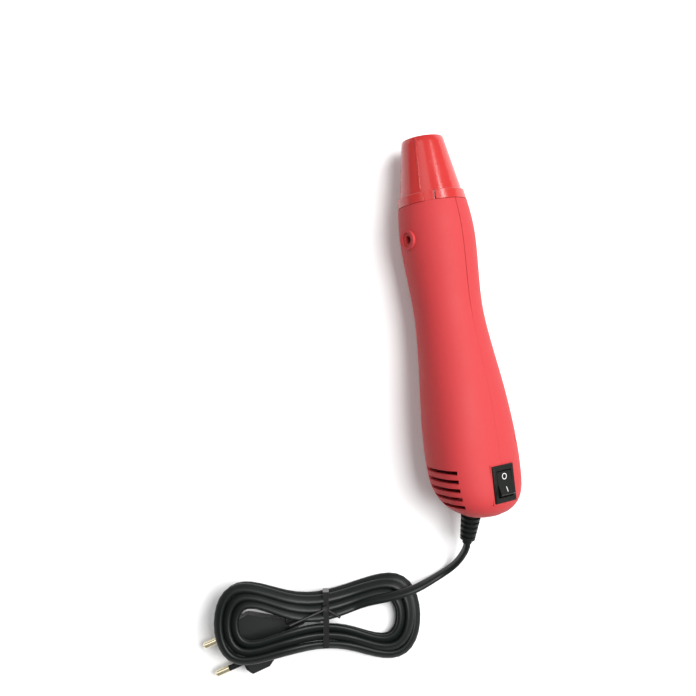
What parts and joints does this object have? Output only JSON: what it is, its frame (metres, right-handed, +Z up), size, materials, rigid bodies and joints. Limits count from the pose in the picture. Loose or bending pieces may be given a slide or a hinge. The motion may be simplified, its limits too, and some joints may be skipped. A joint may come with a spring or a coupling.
{
  "type": "embossing heat tool",
  "caption": "Slim hand-held hot-air tool with a tapered nozzle, rocker switch, rear vents and a tied mains cord with a flat two-pin plug.",
  "frame": {"origin": "centre of the tool's footprint box on the table, measured without the cord, its strain relief and its plug", "axes": "+Y to the nozzle, +Z up from the table, +X to the right seen from above; the tool lies with its switch turned 36 degrees from straight up towards +X"},
  "size_m": [0.206, 0.3077, 0.0546],
  "materials": {
    "shell": "satin coral red moulded plastic",
    "nozzle": "glossy red heat-proof plastic",
    "black_plastic": "satin black",
    "cord_rubber": "satin black sheath",
    "steel": "bright steel",
    "brass": "pale plated brass",
    "copper": "copper",
    "mica": null,
    "board": "green circuit board",
    "wire": "insulated wire"
  },
  "bodies": {
    "tool": {"shell_left": "shell", "shell_right": "shell", "nozzle": "nozzle", "air_tube": "steel", "mica_sleeve": "mica", "mica_cross": "mica", "heater_coil": "steel", "mica_end_disc": "mica", "thermal_cutout": "steel", "heater_leads": "wire", "fan_mount": "black_plastic", "motor_can": "steel", "motor_magnets": "steel", "motor_bushes": "brass", "motor_end_cap": "black_plastic", "rectifier_board": "board", "rectifier_diodes": "black_plastic", "switch_body": "black_plastic", "switch_terminals": "brass", "mains_wires": "wire", "cord_clamp": "black_plastic", "clamp_screws": "steel", "shell_screws": "steel", "cord_inner_end": "cord_rubber", "strain_relief": "black_plastic", "cord_lead": "cord_rubber", "cord_hank": "cord_rubber", "cord_tail": "cord_rubber", "twist_tie": "black_plastic", "plug_body": "black_plastic", "plug_pins": "brass", "pin_sleeves": "black_plastic"},
    "rocker": {"switch_rocker": "black_plastic"},
    "contact": {"contact_blade": "copper"},
    "fan": {"fan_impeller": "black_plastic", "motor_shaft": "steel", "motor_armature": "copper"}
  },
  "joints": [
    {"name": "rocker_tilt", "type": "hinge", "parent": "tool", "child": "rocker", "pos_m": [0.01276, -0.09368, 0.0461], "axis": [0.809, -0.0219, -0.5874], "range_deg": [0, 20]},
    {"name": "contact_rock", "type": "hinge", "parent": "tool", "child": "contact", "pos_m": [0.00772, -0.09334, 0.03914], "axis": [0.809, -0.0219, -0.5874], "range_deg": [-10, 0]},
    {"name": "fan_spin", "type": "hinge", "parent": "tool", "child": "fan", "pos_m": [-0.00011, -0.03605, 0.02622], "axis": [0, 0.9993, -0.0373], "continuous": true}
  ],
  "couplings": [
    {"joint": "contact_rock", "follows": "rocker_tilt", "ratio": -0.5}
  ]
}
